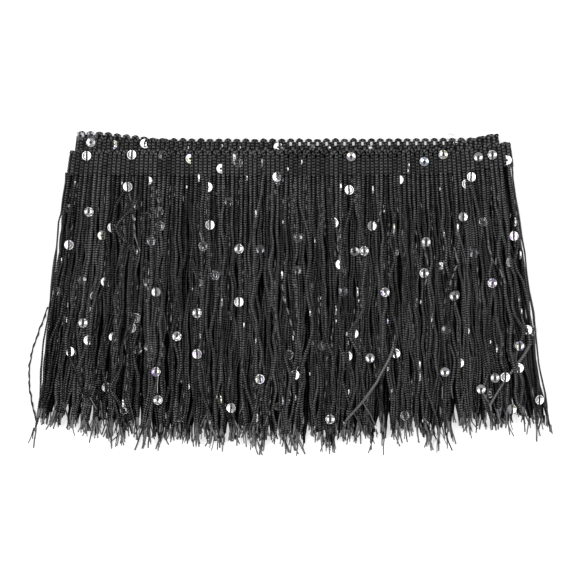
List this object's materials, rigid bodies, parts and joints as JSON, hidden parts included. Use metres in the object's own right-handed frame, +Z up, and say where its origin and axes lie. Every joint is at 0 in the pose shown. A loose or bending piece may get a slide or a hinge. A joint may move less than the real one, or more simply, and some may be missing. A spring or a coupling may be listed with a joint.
{
  "type": "tassel fringe trim",
  "caption": "Chainette fringe with a looped-edge knitted heading, loose hanging cords and sewn-on sequins, folded flat into a stack of layers.",
  "frame": {"origin": "centre of the folded trim's underside, on the surface it lies on", "axes": "+X along the heading, +Y from the cords' cut ends towards the heading's loops, +Z up through the layers"},
  "size_m": [0.2715, 0.1595, 0.0084],
  "materials": {
    "heading_yarn": "matte",
    "cord_yarn": "matte",
    "sequin": "gloss",
    "thread": "matte"
  },
  "bodies": {
    "root": {"heading": "heading_yarn", "fringe_top": "cord_yarn", "fringe_upper": "cord_yarn", "fringe_lower": "cord_yarn", "fringe_bottom": "cord_yarn"}
  },
  "joints": []
}
